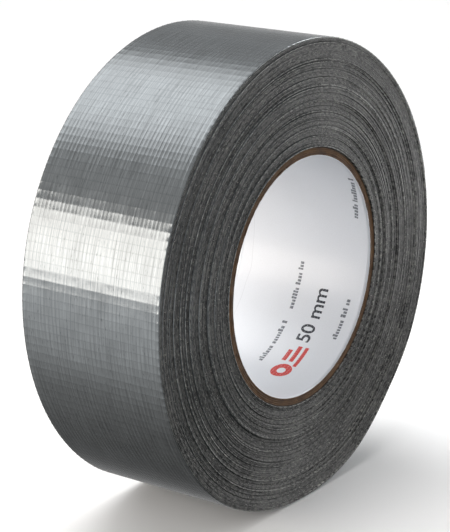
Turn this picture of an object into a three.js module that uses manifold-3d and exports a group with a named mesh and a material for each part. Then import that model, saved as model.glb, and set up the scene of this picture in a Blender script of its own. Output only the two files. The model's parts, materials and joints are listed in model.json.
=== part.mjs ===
// Roll of silver cloth-backed duct tape on a spiral-wound board core.
//
// Frame: millimetres, +Z up. The origin is the middle of the roll, the roll's axis runs
// along Y, and the roll stands on its rim with its front face towards -Y.
//
// Every piece is drawn in plan, looking at the front face: plan X and Y are the finished
// roll's X and Z, and plan Z points out of the front face. One rotation at the end stands
// the whole roll up. Angles are in degrees, from plan X towards plan Y.

import * as THREE from 'three';
import { mergeVertices } from 'three/addons/utils/BufferGeometryUtils.js';
import Module from 'manifold-3d';

const wasm = await Module();
wasm.setup();

// ---- Driving dimensions ---------------------------------------------------------------

const TAPE_WIDTH = 50.8;
const TAPE_THICKNESS = 0.2275;

// The strip is a laminate: its backing film outside, a cloth scrim, and adhesive inside.
const BACKING_THICKNESS = 0.07;
const SCRIM_THICKNESS = 0.05;
const LAYER_GAP = 0.01;

// The core is four plies of kraft board with a white paper liner glued in the bore.
const BORE_RADIUS = 38.1;
const CORE_OUTER_RADIUS = 40.7;
const CORE_WIDTH = 50.4;
const LINER_THICKNESS = 0.15;
const CORE_PLIES = 4;
const GLUE_LINE = 0.03;

// Each ply is a strip wound on a helix. Its two edges meet in a narrow butt seam.
const HELIX_PITCH = 138;
const SEAM_WIDTH = 0.3;
const FIRST_SEAM_ANGLE = 41;
const SEAM_STAGGER = 97;

// The wound turns, from the core outwards, in groups that sit slightly off centre from
// each other along the axis, as the strip wandered while it was wound.
const TURN_GROUPS = [
  { turns: 26, towardsFront: -0.1 },
  { turns: 20, towardsFront: 0.15 },
  { turns: 18, towardsFront: -0.25 },
  { turns: 20, towardsFront: 0.25 },
  { turns: 35, towardsFront: -0.05 },
  { turns: 29, towardsFront: 0.1 },
];
const GROUP_GAP = 0.02;

// The last turn ends at FREE_EDGE_ANGLE. Its end peels up from HINGE_ANGLE, and bends at
// the line between each two lengths of the flap.
const FREE_EDGE_ANGLE = 15;
const HINGE_ANGLE = 65;
const FLAP_LENGTHS = 5;
const END_GAP = 0.05;

// Round pieces have a corner every FACET_ANGLE. The rim has none at STANDING_ANGLE, which
// leaves the small flat that the roll stands on.
const FACET_ANGLE = 5;
const STANDING_ANGLE = 270;

// ---- Sizes worked out from them -------------------------------------------------------

const WOUND_TURNS = TURN_GROUPS.reduce((sum, group) => sum + group.turns, 0);
const ROLL_RADIUS = CORE_OUTER_RADIUS + (WOUND_TURNS + 1) * TAPE_THICKNESS;
const ADHESIVE_THICKNESS = TAPE_THICKNESS - BACKING_THICKNESS - SCRIM_THICKNESS - 3 * LAYER_GAP;
const PLY_ROOM = CORE_OUTER_RADIUS - BORE_RADIUS - LINER_THICKNESS;
const PLY_THICKNESS = PLY_ROOM / CORE_PLIES - GLUE_LINE;

// ---- Materials ------------------------------------------------------------------------

function finish(color, roughness, metalness = 0) {
  return new THREE.MeshStandardMaterial({ color, roughness, metalness });
}

const linerPaper = () => finish('#dfe3e8', 0.35);
const kraftBoard = () => finish('#8a6238', 0.9);
const woundTapeEdge = () => finish('#50504c', 0.7);
const backingFilm = () => finish('#8d9496', 0.35, 0.3);
const scrimCloth = () => finish('#c9c9c0', 0.9);
const adhesive = () => finish('#9a9a90', 0.6);

// ---- Outlines in plan -----------------------------------------------------------------

function polar(radius, degrees) {
  const angle = THREE.MathUtils.degToRad(degrees);
  return new THREE.Vector2(radius * Math.cos(angle), radius * Math.sin(angle));
}

// Corner angles from start to end, both included.
function cornerAngles(start, end) {
  const steps = Math.round((end - start) / FACET_ANGLE);
  return Array.from({ length: steps + 1 }, (_, i) => start + i * FACET_ANGLE);
}

function circle(radius) {
  return cornerAngles(0, 360 - FACET_ANGLE).map((angle) => polar(radius, angle));
}

// The outside of the last turn is one turn of a spiral: it is one thickness further out at
// the free edge than where it starts, a whole turn earlier.
function lastTurnRadius(angle) {
  const turned = (FREE_EDGE_ANGLE + 360 - angle) / 360;
  return ROLL_RADIUS - TAPE_THICKNESS * (1 - turned);
}

// The line at a depth below the outside of the last turn, from one angle to another.
function spiralLine(depth, start, end) {
  return cornerAngles(start, end)
    .filter((angle) => angle !== STANDING_ANGLE)
    .map((angle) => polar(lastTurnRadius(angle) - depth, angle));
}

// Pulls both ends of a line back along it.
function shortened(line, amount) {
  const last = line.length - 1;
  const pull = (point, towards) => {
    const along = towards.clone().sub(point).normalize();
    return point.clone().addScaledVector(along, amount);
  };
  return line.map((point, i) => {
    if (i === 0) return pull(point, line[1]);
    if (i === last) return pull(point, line[last - 1]);
    return point;
  });
}

// ---- Solids ---------------------------------------------------------------------------

function extruded(outline, hole, width, towardsFront) {
  const shape = new THREE.Shape(outline);
  if (hole) shape.holes.push(new THREE.Path(hole));
  const solid = new THREE.ExtrudeGeometry(shape, { depth: width, bevelEnabled: false });
  return solid.translate(0, 0, towardsFront - width / 2);
}

function tube(innerRadius, outerRadius, width, towardsFront = 0) {
  return extruded(circle(outerRadius), circle(innerRadius), width, towardsFront);
}

// A layer of the last turn, from its top depth to its bottom depth, between two angles.
function layer(top, thickness, start, end) {
  const outside = shortened(spiralLine(top, start, end), END_GAP / 2);
  const inside = shortened(spiralLine(top + thickness, start, end), END_GAP / 2);
  return extruded([...outside, ...inside.reverse()], null, TAPE_WIDTH, 0);
}

function asManifold(geometry) {
  const bare = geometry.clone();
  bare.deleteAttribute('normal');
  bare.deleteAttribute('uv');
  const merged = mergeVertices(bare);
  const vertProperties = new Float32Array(merged.attributes.position.array);
  const triVerts = new Uint32Array(merged.index.array);
  return new wasm.Manifold(new wasm.Mesh({ numProp: 3, vertProperties, triVerts }));
}

function asGeometry(manifold) {
  const mesh = manifold.getMesh();
  const geometry = new THREE.BufferGeometry();
  geometry.setAttribute('position', new THREE.BufferAttribute(mesh.vertProperties, 3));
  geometry.setIndex(new THREE.BufferAttribute(mesh.triVerts, 1));
  return geometry;
}

// A thin slab that crosses the tube's wall and turns about the axis as it goes along it.
function helicalSlab(radius, depth, seamAngle) {
  const stepLength = (HELIX_PITCH * FACET_ANGLE) / 360;
  const steps = Math.ceil(CORE_WIDTH / stepLength) + 2;
  const length = steps * stepLength;
  const slab = new THREE.BoxGeometry(depth, SEAM_WIDTH, length, 1, 1, steps);
  slab.translate(radius, 0, 0);
  const axis = new THREE.Vector3(0, 0, 1);
  const point = new THREE.Vector3();
  for (let i = 0; i < slab.attributes.position.count; i += 1) {
    point.fromBufferAttribute(slab.attributes.position, i);
    const turn = THREE.MathUtils.degToRad(seamAngle + (360 * point.z) / HELIX_PITCH);
    point.applyAxisAngle(axis, turn);
    slab.attributes.position.setXYZ(i, point.x, point.y, point.z);
  }
  return slab;
}

// ---- Pieces ---------------------------------------------------------------------------

function piece(name, geometry, material) {
  const mesh = new THREE.Mesh(geometry, material);
  mesh.name = name;
  return mesh;
}

function coreLiner() {
  const solid = tube(BORE_RADIUS, BORE_RADIUS + LINER_THICKNESS, CORE_WIDTH);
  return piece('core_liner', solid, linerPaper());
}

function corePlies() {
  return Array.from({ length: CORE_PLIES }, (_, i) => {
    const inner = BORE_RADIUS + LINER_THICKNESS + GLUE_LINE + i * (PLY_THICKNESS + GLUE_LINE);
    const wall = tube(inner, inner + PLY_THICKNESS, CORE_WIDTH);
    const seamAngle = FIRST_SEAM_ANGLE + i * SEAM_STAGGER;
    const seam = helicalSlab(inner + PLY_THICKNESS / 2, 3 * PLY_THICKNESS, seamAngle);
    const strip = asManifold(wall).subtract(asManifold(seam));
    return piece(`core_ply_${i + 1}`, asGeometry(strip), kraftBoard());
  });
}

function turnGroups() {
  const pieces = [];
  let radius = CORE_OUTER_RADIUS;
  TURN_GROUPS.forEach(({ turns, towardsFront }, i) => {
    const outer = radius + turns * TAPE_THICKNESS;
    const isLast = i === TURN_GROUPS.length - 1;
    const outline = isLast
      ? spiralLine(TAPE_THICKNESS, FREE_EDGE_ANGLE, FREE_EDGE_ANGLE + 360)
      : circle(outer);
    const solid = extruded(outline, circle(radius + GROUP_GAP), TAPE_WIDTH, towardsFront);
    pieces.push(piece(`tape_turns_${i + 1}`, solid, woundTapeEdge()));
    radius = outer;
  });
  return pieces;
}

// The three layers of the strip between two angles, each a piece of its own.
function laminate(name, start, end) {
  const scrimTop = BACKING_THICKNESS + LAYER_GAP;
  const adhesiveTop = scrimTop + SCRIM_THICKNESS + LAYER_GAP;
  const backing = layer(0, BACKING_THICKNESS, start, end);
  const scrim = layer(scrimTop, SCRIM_THICKNESS, start, end);
  const glue = layer(adhesiveTop, ADHESIVE_THICKNESS, start, end);
  return [
    piece(`${name}_backing`, backing, backingFilm()),
    piece(`${name}_scrim`, scrim, scrimCloth()),
    piece(`${name}_adhesive`, glue, adhesive()),
  ];
}

function outerTurn() {
  return laminate('outer_turn', HINGE_ANGLE, FREE_EDGE_ANGLE + 360);
}

// The lengths of the end flap, counted from the hinge to the free edge.
function endFlap() {
  const span = (HINGE_ANGLE - FREE_EDGE_ANGLE) / FLAP_LENGTHS;
  return Array.from({ length: FLAP_LENGTHS }, (_, i) => {
    const far = HINGE_ANGLE - i * span;
    return laminate(`end_flap_${i + 1}`, far - span, far);
  }).flat();
}

const roll = new THREE.Group();
roll.add(coreLiner());
roll.add(...corePlies());
roll.add(...turnGroups());
roll.add(...outerTurn());
roll.add(...endFlap());
roll.rotation.x = Math.PI / 2;

const standing = new THREE.Group();
standing.add(roll);

export default standing;
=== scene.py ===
"""Looks for a roll of silver cloth-backed duct tape on a spiral-wound board core.

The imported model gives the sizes, the hinge lines and the bodies. This script grows the wound
strip, its woven outer turn, the peeling end, the board core and the printed liner round it,
and sets up a plain studio.

Plan view: the trees draw in plan, looking at the roll's front face, with plan X and Y as the
roll's X and Z, and plan Z out of the front face. Angles run from X towards Z. The strip winds
outwards as its angle falls, so a place along it is its winding: turns counted from the core.
"""

import json
import logging
import math
from dataclasses import dataclass, field
from enum import Enum

import bmesh
import bpy
import numpy as np
from bpy.types import Material, Node, NodeOutputs, NodeSocket, NodeTree, Object
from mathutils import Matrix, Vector


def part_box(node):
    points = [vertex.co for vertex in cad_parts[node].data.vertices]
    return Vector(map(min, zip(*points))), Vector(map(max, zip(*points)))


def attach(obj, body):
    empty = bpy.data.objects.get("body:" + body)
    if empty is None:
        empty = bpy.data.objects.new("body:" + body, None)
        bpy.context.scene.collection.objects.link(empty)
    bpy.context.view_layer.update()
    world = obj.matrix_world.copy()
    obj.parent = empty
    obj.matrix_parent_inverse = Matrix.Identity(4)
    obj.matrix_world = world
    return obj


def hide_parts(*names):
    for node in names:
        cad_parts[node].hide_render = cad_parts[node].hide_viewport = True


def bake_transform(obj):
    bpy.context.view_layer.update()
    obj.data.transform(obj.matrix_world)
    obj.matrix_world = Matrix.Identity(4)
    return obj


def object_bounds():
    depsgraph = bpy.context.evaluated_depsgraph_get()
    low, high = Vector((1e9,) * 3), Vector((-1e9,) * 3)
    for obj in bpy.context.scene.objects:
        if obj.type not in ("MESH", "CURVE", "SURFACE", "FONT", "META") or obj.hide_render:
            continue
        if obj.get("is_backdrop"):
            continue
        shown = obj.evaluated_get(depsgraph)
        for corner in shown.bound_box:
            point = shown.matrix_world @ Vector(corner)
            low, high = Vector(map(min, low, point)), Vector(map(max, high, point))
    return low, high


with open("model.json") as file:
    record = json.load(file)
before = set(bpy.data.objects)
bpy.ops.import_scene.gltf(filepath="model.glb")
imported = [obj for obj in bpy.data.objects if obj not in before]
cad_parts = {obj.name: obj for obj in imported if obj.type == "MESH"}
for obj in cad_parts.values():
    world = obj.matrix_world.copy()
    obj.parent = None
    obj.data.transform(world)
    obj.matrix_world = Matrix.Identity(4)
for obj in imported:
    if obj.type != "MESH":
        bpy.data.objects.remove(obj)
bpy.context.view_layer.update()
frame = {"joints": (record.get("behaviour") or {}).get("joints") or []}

LOG = logging.getLogger("tape_roll")

MM = 0.001
FULL_TURN = 2 * math.pi

# Node kinds used all over.
MATH = "ShaderNodeMath"
VECTOR = "ShaderNodeVectorMath"
COMBINE = "ShaderNodeCombineXYZ"
SEPARATE = "ShaderNodeSeparateXYZ"
NOISE = "ShaderNodeTexNoise"
RANGE = "ShaderNodeMapRange"
STORE = "GeometryNodeStoreNamedAttribute"
LINE = "GeometryNodeMeshLine"
RECTANGLE = "GeometryNodeCurvePrimitiveQuadrilateral"
INSTANCES = "GeometryNodeInstanceOnPoints"
MOVE = "GeometryNodeSetPosition"
SWEEP = "GeometryNodeCurveToMesh"
TRANSFORM = "GeometryNodeTransform"
REALIZE = "GeometryNodeRealizeInstances"
INDEX = "GeometryNodeInputIndex"
POSITION = "GeometryNodeInputPosition"
SWITCH = "GeometryNodeSwitch"

Geometry = tuple[np.ndarray, list[tuple[int, ...]]]


# ---- Small tools ------------------------------------------------------------------------


def linear(hex_colour: str) -> tuple[float, float, float, float]:
    """Turns an sRGB hex colour into linear red, green, blue and alpha.

    Args:
        hex_colour: The colour as "#rrggbb".

    Returns:
        Linear red, green, blue, and alpha 1.
    """
    parts = [int(hex_colour[i : i + 2], 16) / 255 for i in (1, 3, 5)]
    red, green, blue = (
        part / 12.92 if part <= 0.04045 else ((part + 0.055) / 1.055) ** 2.4 for part in parts
    )
    return red, green, blue, 1.0


def fill(tree: NodeTree, node: Node, inputs: dict[int | str, object]) -> None:
    """Links or sets some of a node's inputs.

    Args:
        tree: The node's tree.
        node: The node.
        inputs: Input name or number to a number, a node or socket to link from, or None to
            leave the input alone.
    """
    for key, value in inputs.items():
        source = value.outputs[0] if isinstance(value, Node) else value
        if isinstance(source, NodeSocket):
            tree.links.new(source, node.inputs[key])
        elif source is not None:
            node.inputs[key].default_value = source


def add(tree: NodeTree, kind: str, *values: object, **settings: object) -> Node:
    """Adds a node with its settings, values and links.

    Args:
        tree: The tree that gets the node.
        kind: Blender's name for the kind of node.
        values: One for each input from the first on, as fill takes them. A dict instead names
            its inputs.
        settings: The node's own options.

    Returns:
        The new node.
    """
    node = tree.nodes.new(kind)
    for option, setting in settings.items():
        setattr(node, option, setting)
    fill(tree, node, {key: value for key, value in enumerate(values) if not isinstance(value, dict)})
    for group in values:
        if isinstance(group, dict):
            fill(tree, node, group)
    return node


def maths(tree: NodeTree, operation: str, *values: object) -> Node:
    """Adds a sum, product or other operation on numbers."""
    return add(tree, MATH, *values, operation=operation)


def scaled(tree: NodeTree, vector: object, amount: object) -> NodeSocket:
    """Adds a vector or colour times a number."""
    return add(tree, VECTOR, vector, {3: amount}, operation="SCALE").outputs[0]


def mixed(tree: NodeTree, share: object, under: object, over: object) -> NodeSocket:
    """Adds a colour that goes from one to the other as the share goes from 0 to 1."""
    return add(tree, "ShaderNodeMix", {0: share, 6: under, 7: over}, data_type="RGBA").outputs[2]


def embossed(
    tree: NodeTree, strength: object, distance: float, height: object, normal: object = None
) -> Node:
    """Adds relief to a shader's normal, over another normal if one is given."""
    values = {"Strength": strength, "Distance": distance, "Height": height, "Normal": normal}
    return add(tree, "ShaderNodeBump", values)


def noise(tree: NodeTree, place: object, scale: float, detail: float) -> NodeSocket:
    """Adds noise over space, mostly from 0.3 to 0.7."""
    return add(tree, NOISE, place, {"Scale": scale, "Detail": detail}).outputs["Fac"]


def noise_along(tree: NodeTree, place: object, scale: float, detail: float = 2.0) -> NodeSocket:
    """Adds noise along one number, mostly from 0.3 to 0.7."""
    values = {"W": place, "Scale": scale, "Detail": detail}
    return add(tree, NOISE, values, noise_dimensions="1D").outputs["Fac"]


def attribute(tree: NodeTree, name: str) -> NodeSocket:
    """Adds a number that the piece's mesh carries under a name."""
    return add(tree, "ShaderNodeAttribute", attribute_name=name).outputs["Fac"]


def store(tree: NodeTree, geometry: object, name: str, value: object) -> Node:
    """Adds a number under a name to each point of the geometry."""
    return add(tree, STORE, geometry, {"Name": name, "Value": value}, domain="POINT")


def new_tree(name: str, inputs: dict[str, str], output: str = "Geometry") -> NodeTree:
    """Makes an empty Geometry Nodes tree with named inputs and one output.

    Args:
        name: The tree's name.
        inputs: Input name to the end of its socket type, such as "Float".
        output: The end of the output's socket type.

    Returns:
        The tree, with no nodes in it yet.
    """
    tree = bpy.data.node_groups.new(name, "GeometryNodeTree")
    for label, kind in inputs.items():
        tree.interface.new_socket(label, in_out="INPUT", socket_type=f"NodeSocket{kind}")
    tree.interface.new_socket(output, in_out="OUTPUT", socket_type=f"NodeSocket{output}")
    return tree


def grow(name: str, tree: NodeTree, values: dict[str, object]) -> Object:
    """Runs a Geometry Nodes tree once and keeps its result as a plain mesh object.

    Args:
        name: The new object's name.
        tree: The tree to run.
        values: Input name to value. They are set by the sockets' identifiers.

    Returns:
        A mesh object at the origin with no modifiers.
    """
    piece = bpy.data.objects.new(name, bpy.data.meshes.new(f"{name}_seed"))
    bpy.context.scene.collection.objects.link(piece)
    modifier = piece.modifiers.new("Grow", "NODES")
    modifier.node_group = tree
    for item in tree.interface.items_tree:
        if item.item_type == "SOCKET" and item.in_out == "INPUT" and item.name in values:
            modifier[item.identifier] = values[item.name]
    graph = bpy.context.evaluated_depsgraph_get()
    mesh = bpy.data.meshes.new_from_object(
        piece.evaluated_get(graph), preserve_all_data_layers=True, depsgraph=graph
    )
    piece.modifiers.remove(modifier)
    piece.data = mesh
    return piece


def mesh_piece(name: str, points: np.ndarray, faces: list, material: Material) -> Object:
    """Makes a smooth mesh object from points and faces.

    Args:
        name: The new object's name.
        points: One row for each point, in metres.
        faces: Point numbers of each face.
        material: The piece's finish.

    Returns:
        The new object.
    """
    mesh = bpy.data.meshes.new(name)
    mesh.from_pydata(points.tolist(), [], faces)
    mesh.polygons.foreach_set("use_smooth", [True] * len(mesh.polygons))
    mesh.materials.append(material)
    mesh.update()
    piece = bpy.data.objects.new(name, mesh)
    bpy.context.scene.collection.objects.link(piece)
    return piece


def settle(piece: Object, body: str, slot: str, *nodes: str) -> None:
    """Puts a piece on its body and hides the solids that it stands for.

    Args:
        piece: The finished piece.
        body: The body that it rides on.
        slot: The record's material slot. It is not used.
        nodes: The solids that the piece replaces.
    """
    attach(piece, body)
    if nodes:
        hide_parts(*nodes)
    LOG.info("%s: %d faces on %s", piece.name, len(piece.data.polygons), body)


# ---- Sizes ------------------------------------------------------------------------------


@dataclass(frozen=True)
class Strip:
    """The tape itself, as one strip wound from the core to its free edge.

    Turn boundaries count whole turns from the core, and each group of turns sits a little
    towards the front or the back.
    """

    width: float = 50.8 * MM
    thickness: float = 0.2275 * MM
    film: float = 0.07 * MM
    scrim: float = 0.05 * MM
    gap: float = 0.01 * MM
    boundaries: tuple[int, ...] = (1, 26, 46, 64, 84, 119, 148)
    towards_front: tuple[float, ...] = (-0.1, 0.15, -0.25, 0.25, -0.05, 0.1)
    weft_pitch: float = math.radians(2.0)
    warp_threads: int = 36
    last_turn: int = 149

    @property
    def core_radius(self) -> float:
        """The radius that the first turn lies on."""
        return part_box("core_ply_4")[1].x

    @property
    def free_angle(self) -> float:
        """The angle of the free edge, a little past the last hinge's length."""
        return math.radians(15)

    def radius(self, winding: float) -> float:
        """The strip's outside radius at a place along it."""
        return self.core_radius + self.thickness * winding

    def winding(self, angle: float) -> float:
        """The place in the last turn that lies at an angle between the free edge and it."""
        return self.last_turn - (angle - self.free_angle) / FULL_TURN


def hinge_angle(joint: str) -> float:
    """The plan angle of a hinge line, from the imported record.

    Args:
        joint: The joint's name.

    Returns:
        Its angle about the roll's axis, in radians.
    """
    place = next(row["pos_m"] for row in frame["joints"] if row["name"] == joint)
    return math.atan2(place[2], place[0])


# ---- Finishes ---------------------------------------------------------------------------


class Coordinates(Enum):
    """What a finish's pattern follows: the piece's own UV map, or its place in space."""

    STRIP = "tape_uv"
    SPACE = "Object"


def new_material(name: str) -> tuple[Material, NodeTree, Node]:
    """Makes a material with one principled shader.

    Args:
        name: The material's name.

    Returns:
        The material, its tree and its principled shader.
    """
    material = bpy.data.materials.new(name)
    material.use_nodes = True
    tree = material.node_tree
    shader = next(node for node in tree.nodes if node.type == "BSDF_PRINCIPLED")
    return material, tree, shader


def coordinates(tree: NodeTree, kind: Coordinates) -> NodeSocket:
    """The socket that a pattern reads its place from.

    Args:
        tree: The material's tree.
        kind: What the pattern follows.

    Returns:
        A vector socket, in metres.
    """
    if kind is Coordinates.STRIP:
        return add(tree, "ShaderNodeAttribute", attribute_name=kind.value).outputs["Vector"]
    return add(tree, "ShaderNodeTexCoord").outputs[kind.value]


@dataclass(frozen=True)
class SilverFilm:
    """Polyethylene film filled with aluminium flake, pressed hot over the cloth.

    The flake gives it a grey half-metal look, and the smooth film a crisp gloss that the
    threads under it break up.
    """

    colour: str = "#868b8e"
    thread_colour: str = "#7b8083"
    metallic: float = 0.62
    roughness: float = 0.17
    ior: float = 1.51
    pucker: float = 1.1 * MM
    drawn: float = 0.42 * MM
    crease: float = 0.5 * MM

    def build(self) -> Material:
        """Makes the material."""
        material, tree, shader = new_material("silver polyethylene film")
        place = coordinates(tree, Coordinates.STRIP)
        thread = attribute(tree, "thread")
        clouds = noise(tree, place, 1 / (9 * MM), 3.0)
        cloudy = maths(tree, "MULTIPLY_ADD", clouds, 0.35, 0.8)
        # Over the threads the film is painted a little darker, as shade of the weave's relief, which also
        # dims its gloss there.
        base = mixed(tree, thread, linear(self.colour), linear(self.thread_colour))
        pucker = noise(tree, place, 1 / self.pucker, 2.0)
        # The film was drawn out along the strip, which leaves fine lines that way.
        along = add(tree, VECTOR, place, (0.03, 1.0, 1.0), operation="MULTIPLY")
        drawn = noise(tree, along, 1 / self.drawn, 2.0)
        lines = add(tree, RANGE, drawn, 0.3, 0.7, 0.8, 1.2)
        # Here and there the film sank between threads, and painted shade darkens that short crease.
        short = add(tree, VECTOR, place, (0.22, 1.0, 1.0), operation="MULTIPLY")
        crease = noise(tree, short, 1 / self.crease, 2.0)
        crease_shade = add(tree, RANGE, crease, 0.28, 0.38, 0.65, 1.0)
        tone = cloudy
        for share in (lines, crease_shade):
            tone = maths(tree, "MULTIPLY", tone, share)
        toned = scaled(tree, base, tone)
        coarse = embossed(tree, 0.3, 0.012 * MM, pucker)
        fine = embossed(tree, 0.9, 0.03 * MM, drawn, coarse)
        rough = maths(tree, "MULTIPLY_ADD", clouds, 0.1, self.roughness - 0.05)
        fill(
            tree,
            shader,
            {
                "Base Color": toned,
                "Roughness": rough,
                "Normal": fine,
                "Metallic": self.metallic,
                "IOR": self.ior,
            },
        )
        return material


@dataclass(frozen=True)
class SlitEdge:
    """The slit edges of the wound strip: film, cloth and adhesive cut through at once.

    The film shows as a thin bright line on each turn. The adhesive between is dark and dull,
    with nicks where the cloth pulled away, painted near black as shade, as are the pits of cut
    weft ends. A turn that stands proud gets a painted highlight, and one that sits back gets
    painted shade.
    """

    film_colour: str = "#8a8d8b"
    glue_colour: str = "#4b4b49"
    pit_shade_colour: str = "#121212"
    lint_colour: str = "#9a9a92"
    face_colour: str = "#83888b"
    roughness: float = 0.6
    film_share: float = 0.3
    nick_length: float = 1.7 * MM
    nick_width: float = 0.75 * MM

    def build(self) -> Material:
        """Makes the material."""
        material, tree, shader = new_material("slit tape edge")
        space = coordinates(tree, Coordinates.SPACE)
        layer = attribute(tree, "layer")
        turn = attribute(tree, "turn")
        shift = attribute(tree, "shift")
        film = add(tree, RANGE, layer, self.film_share, 0.0, 0.0, 1.0)
        outside = add(tree, RANGE, layer, 0.04, 0.0, 0.0, 1.0)
        drift = noise_along(tree, turn, 1.7, 4.0)
        nick = self.streaks(tree, space, self.nick_length, self.nick_width)
        lint = self.streaks(tree, space, 0.55 * self.nick_length, 0.85 * self.nick_width)
        wear = noise(tree, space, 1 / (9 * MM), 2.0)
        # Nicks and the pits of cut weft ends are painted near black, as shade in those hollows.
        torn = add(tree, RANGE, nick, 0.4, 0.45, 0.95, 0.0)
        painted_pit_shade = maths(tree, "MAXIMUM", torn, self.weft_ends(tree, turn, wear))
        linted = add(tree, RANGE, lint, 0.56, 0.66, 0.0, 0.35)
        shine = maths(tree, "MULTIPLY", film, drift)
        colour: NodeSocket | tuple = linear(self.glue_colour)
        shares = ((shine, self.film_colour), (linted, self.lint_colour), (painted_pit_shade, self.pit_shade_colour))
        for share, over in shares:
            colour = mixed(tree, share, colour, linear(over))
        # Towards the front is proud on the front face and sunk on the back.
        depth = add(tree, SEPARATE, space).outputs["Y"]
        facing = maths(tree, "MULTIPLY", maths(tree, "SIGN", depth), -1.0)
        proud = maths(tree, "MULTIPLY", shift, facing)
        # Painted shade darkens turns that sit back, and a painted highlight lightens turns that stand
        # proud.
        sunk = add(tree, RANGE, proud, -0.24 * MM, -0.14 * MM, 0.22, 1.0)
        raised = add(tree, RANGE, proud, 0.12 * MM, 0.28 * MM, 1.0, 2.6)
        painted_highlight_and_shade = maths(tree, "MULTIPLY", sunk, raised)
        tone = add(tree, RANGE, drift, 0.3, 0.7, 0.75, 1.25)
        worn = add(tree, RANGE, wear, 0.3, 0.7, 0.88, 1.12)
        uneven = maths(tree, "MULTIPLY", tone, worn)
        scale = maths(tree, "MULTIPLY", uneven, painted_highlight_and_shade)
        toned = scaled(tree, colour, scale)
        bump = embossed(tree, 0.9, 0.12 * MM, nick)
        # The outside of each turn is plain film, which shows where the end is peeled off it.
        base = mixed(tree, outside, toned, linear(self.face_colour))
        rough = add(tree, RANGE, outside, 0.0, 1.0, self.roughness, 0.24)
        metal = maths(tree, "MULTIPLY", outside, 0.6)
        weave = embossed(
            tree, maths(tree, "MULTIPLY", outside, 0.8), 0.03 * MM, self.weave(tree, space), bump
        )
        fill(tree, shader, {"Base Color": base, "Roughness": rough, "Metallic": metal, "Normal": weave})
        return material

    @staticmethod
    def weft_ends(tree: NodeTree, turn: NodeSocket, wear: NodeSocket) -> Node:
        """Adds painted shade in the pits of the cut weft threads, evenly spaced along the strip.

        Args:
            tree: The material's tree.
            turn: Turns counted from the core.
            wear: Noise that hides the pits in places.

        Returns:
            The node that gives the painted shade's share, from 0 to 1.
        """
        strip = Strip()
        spacing = strip.weft_pitch * strip.radius(strip.last_turn)
        per_turn = FULL_TURN * strip.thickness / (2 * spacing)
        start = FULL_TURN * strip.core_radius / spacing
        slope = maths(tree, "MULTIPLY_ADD", turn, per_turn, start)
        threads = maths(tree, "MULTIPLY", slope, turn)
        part = maths(tree, "FRACT", threads)
        phase = maths(tree, "MULTIPLY", part, FULL_TURN)
        wave = maths(tree, "COSINE", phase)
        pit = add(tree, RANGE, wave, 0.1, 0.8, 0.0, 1.0)
        kept = add(tree, RANGE, wear, 0.4, 0.6, 1.0, 0.3)
        return maths(tree, "MULTIPLY", pit, kept)

    @staticmethod
    def weave(tree: NodeTree, space: NodeSocket) -> Node:
        """Adds the height of the threads that print through the film, as ridges both ways.

        Args:
            tree: The material's tree.
            space: The place that is shaded.

        Returns:
            The node that gives the height, from 0 to 1.
        """
        strip = Strip()
        parts = add(tree, SEPARATE, space)
        angle = maths(tree, "ARCTAN2", parts.outputs["Z"], parts.outputs["X"])
        warp = (parts.outputs["Y"], FULL_TURN * strip.warp_threads / strip.width)
        weft = (angle, FULL_TURN / strip.weft_pitch)
        ridges = []
        for source, rate in (warp, weft):
            phase = maths(tree, "MULTIPLY", source, rate)
            wave = maths(tree, "COSINE", phase)
            crest = maths(tree, "MAXIMUM", wave, 0.0)
            ridges.append(maths(tree, "POWER", crest, 2.0))
        return maths(tree, "MAXIMUM", *ridges)

    @staticmethod
    def streaks(tree: NodeTree, space: NodeSocket, length: float, width: float) -> NodeSocket:
        """Adds noise that is drawn out round the roll's axis.

        Args:
            tree: The material's tree.
            space: The place that is shaded.
            length: The size of a streak round the axis, at the middle of the wound turns.
            width: Its size away from the axis.

        Returns:
            The noise, mostly from 0.3 to 0.7.
        """
        parts = add(tree, SEPARATE, space)
        flat = add(tree, COMBINE, parts.outputs["X"], 0.0, parts.outputs["Z"])
        reach = add(tree, VECTOR, flat, operation="LENGTH").outputs["Value"]
        unit = add(tree, VECTOR, flat, operation="NORMALIZE")
        round_axis = scaled(tree, unit, 57 * MM / length)
        outward = add(tree, COMBINE, 0.0, maths(tree, "DIVIDE", reach, width), 0.0)
        place = add(tree, VECTOR, round_axis, outward, operation="ADD")
        return noise(tree, place, 1.0, 2.0)


@dataclass(frozen=True)
class KraftBoard:
    """Unbleached kraft board, wound wet and sawn to length: dull, fibrous and brown."""

    colour: str = "#6b4c2b"
    dark_colour: str = "#3c2614"
    roughness: float = 0.9
    fibre: float = 0.25 * MM

    def build(self) -> Material:
        """Makes the material."""
        material, tree, shader = new_material("kraft board")
        space = coordinates(tree, Coordinates.SPACE)
        fibre = add(tree, NOISE, space, {"Scale": 1 / self.fibre, "Detail": 4.0, "Roughness": 0.7})
        patch = noise(tree, space, 1 / (3 * MM), 2.0)
        parts = add(tree, SEPARATE, space)
        flat = add(tree, COMBINE, parts.outputs["X"], 0.0, parts.outputs["Z"])
        reach = add(tree, VECTOR, flat, operation="LENGTH").outputs["Value"]
        plies = noise_along(tree, reach, 1 / (0.7 * MM))
        share = maths(tree, "ADD", fibre.outputs["Fac"], patch)
        whole = maths(tree, "ADD", share, plies)
        amount = add(tree, RANGE, whole, 1.15, 1.85, 0.0, 1.0)
        base = mixed(tree, amount, linear(self.dark_colour), linear(self.colour))
        bump = embossed(tree, 0.8, 0.06 * MM, fibre.outputs["Fac"])
        # The board darkens towards its outside, next to the first turn of tape.
        outside = Strip().core_radius
        darker_near_tape = add(tree, RANGE, reach, outside - 0.6 * MM, outside - 0.1 * MM, 1.0, 0.4)
        toned = scaled(tree, base, darker_near_tape)
        fill(tree, shader, {"Base Color": toned, "Normal": bump, "Roughness": self.roughness})
        return material


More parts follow.
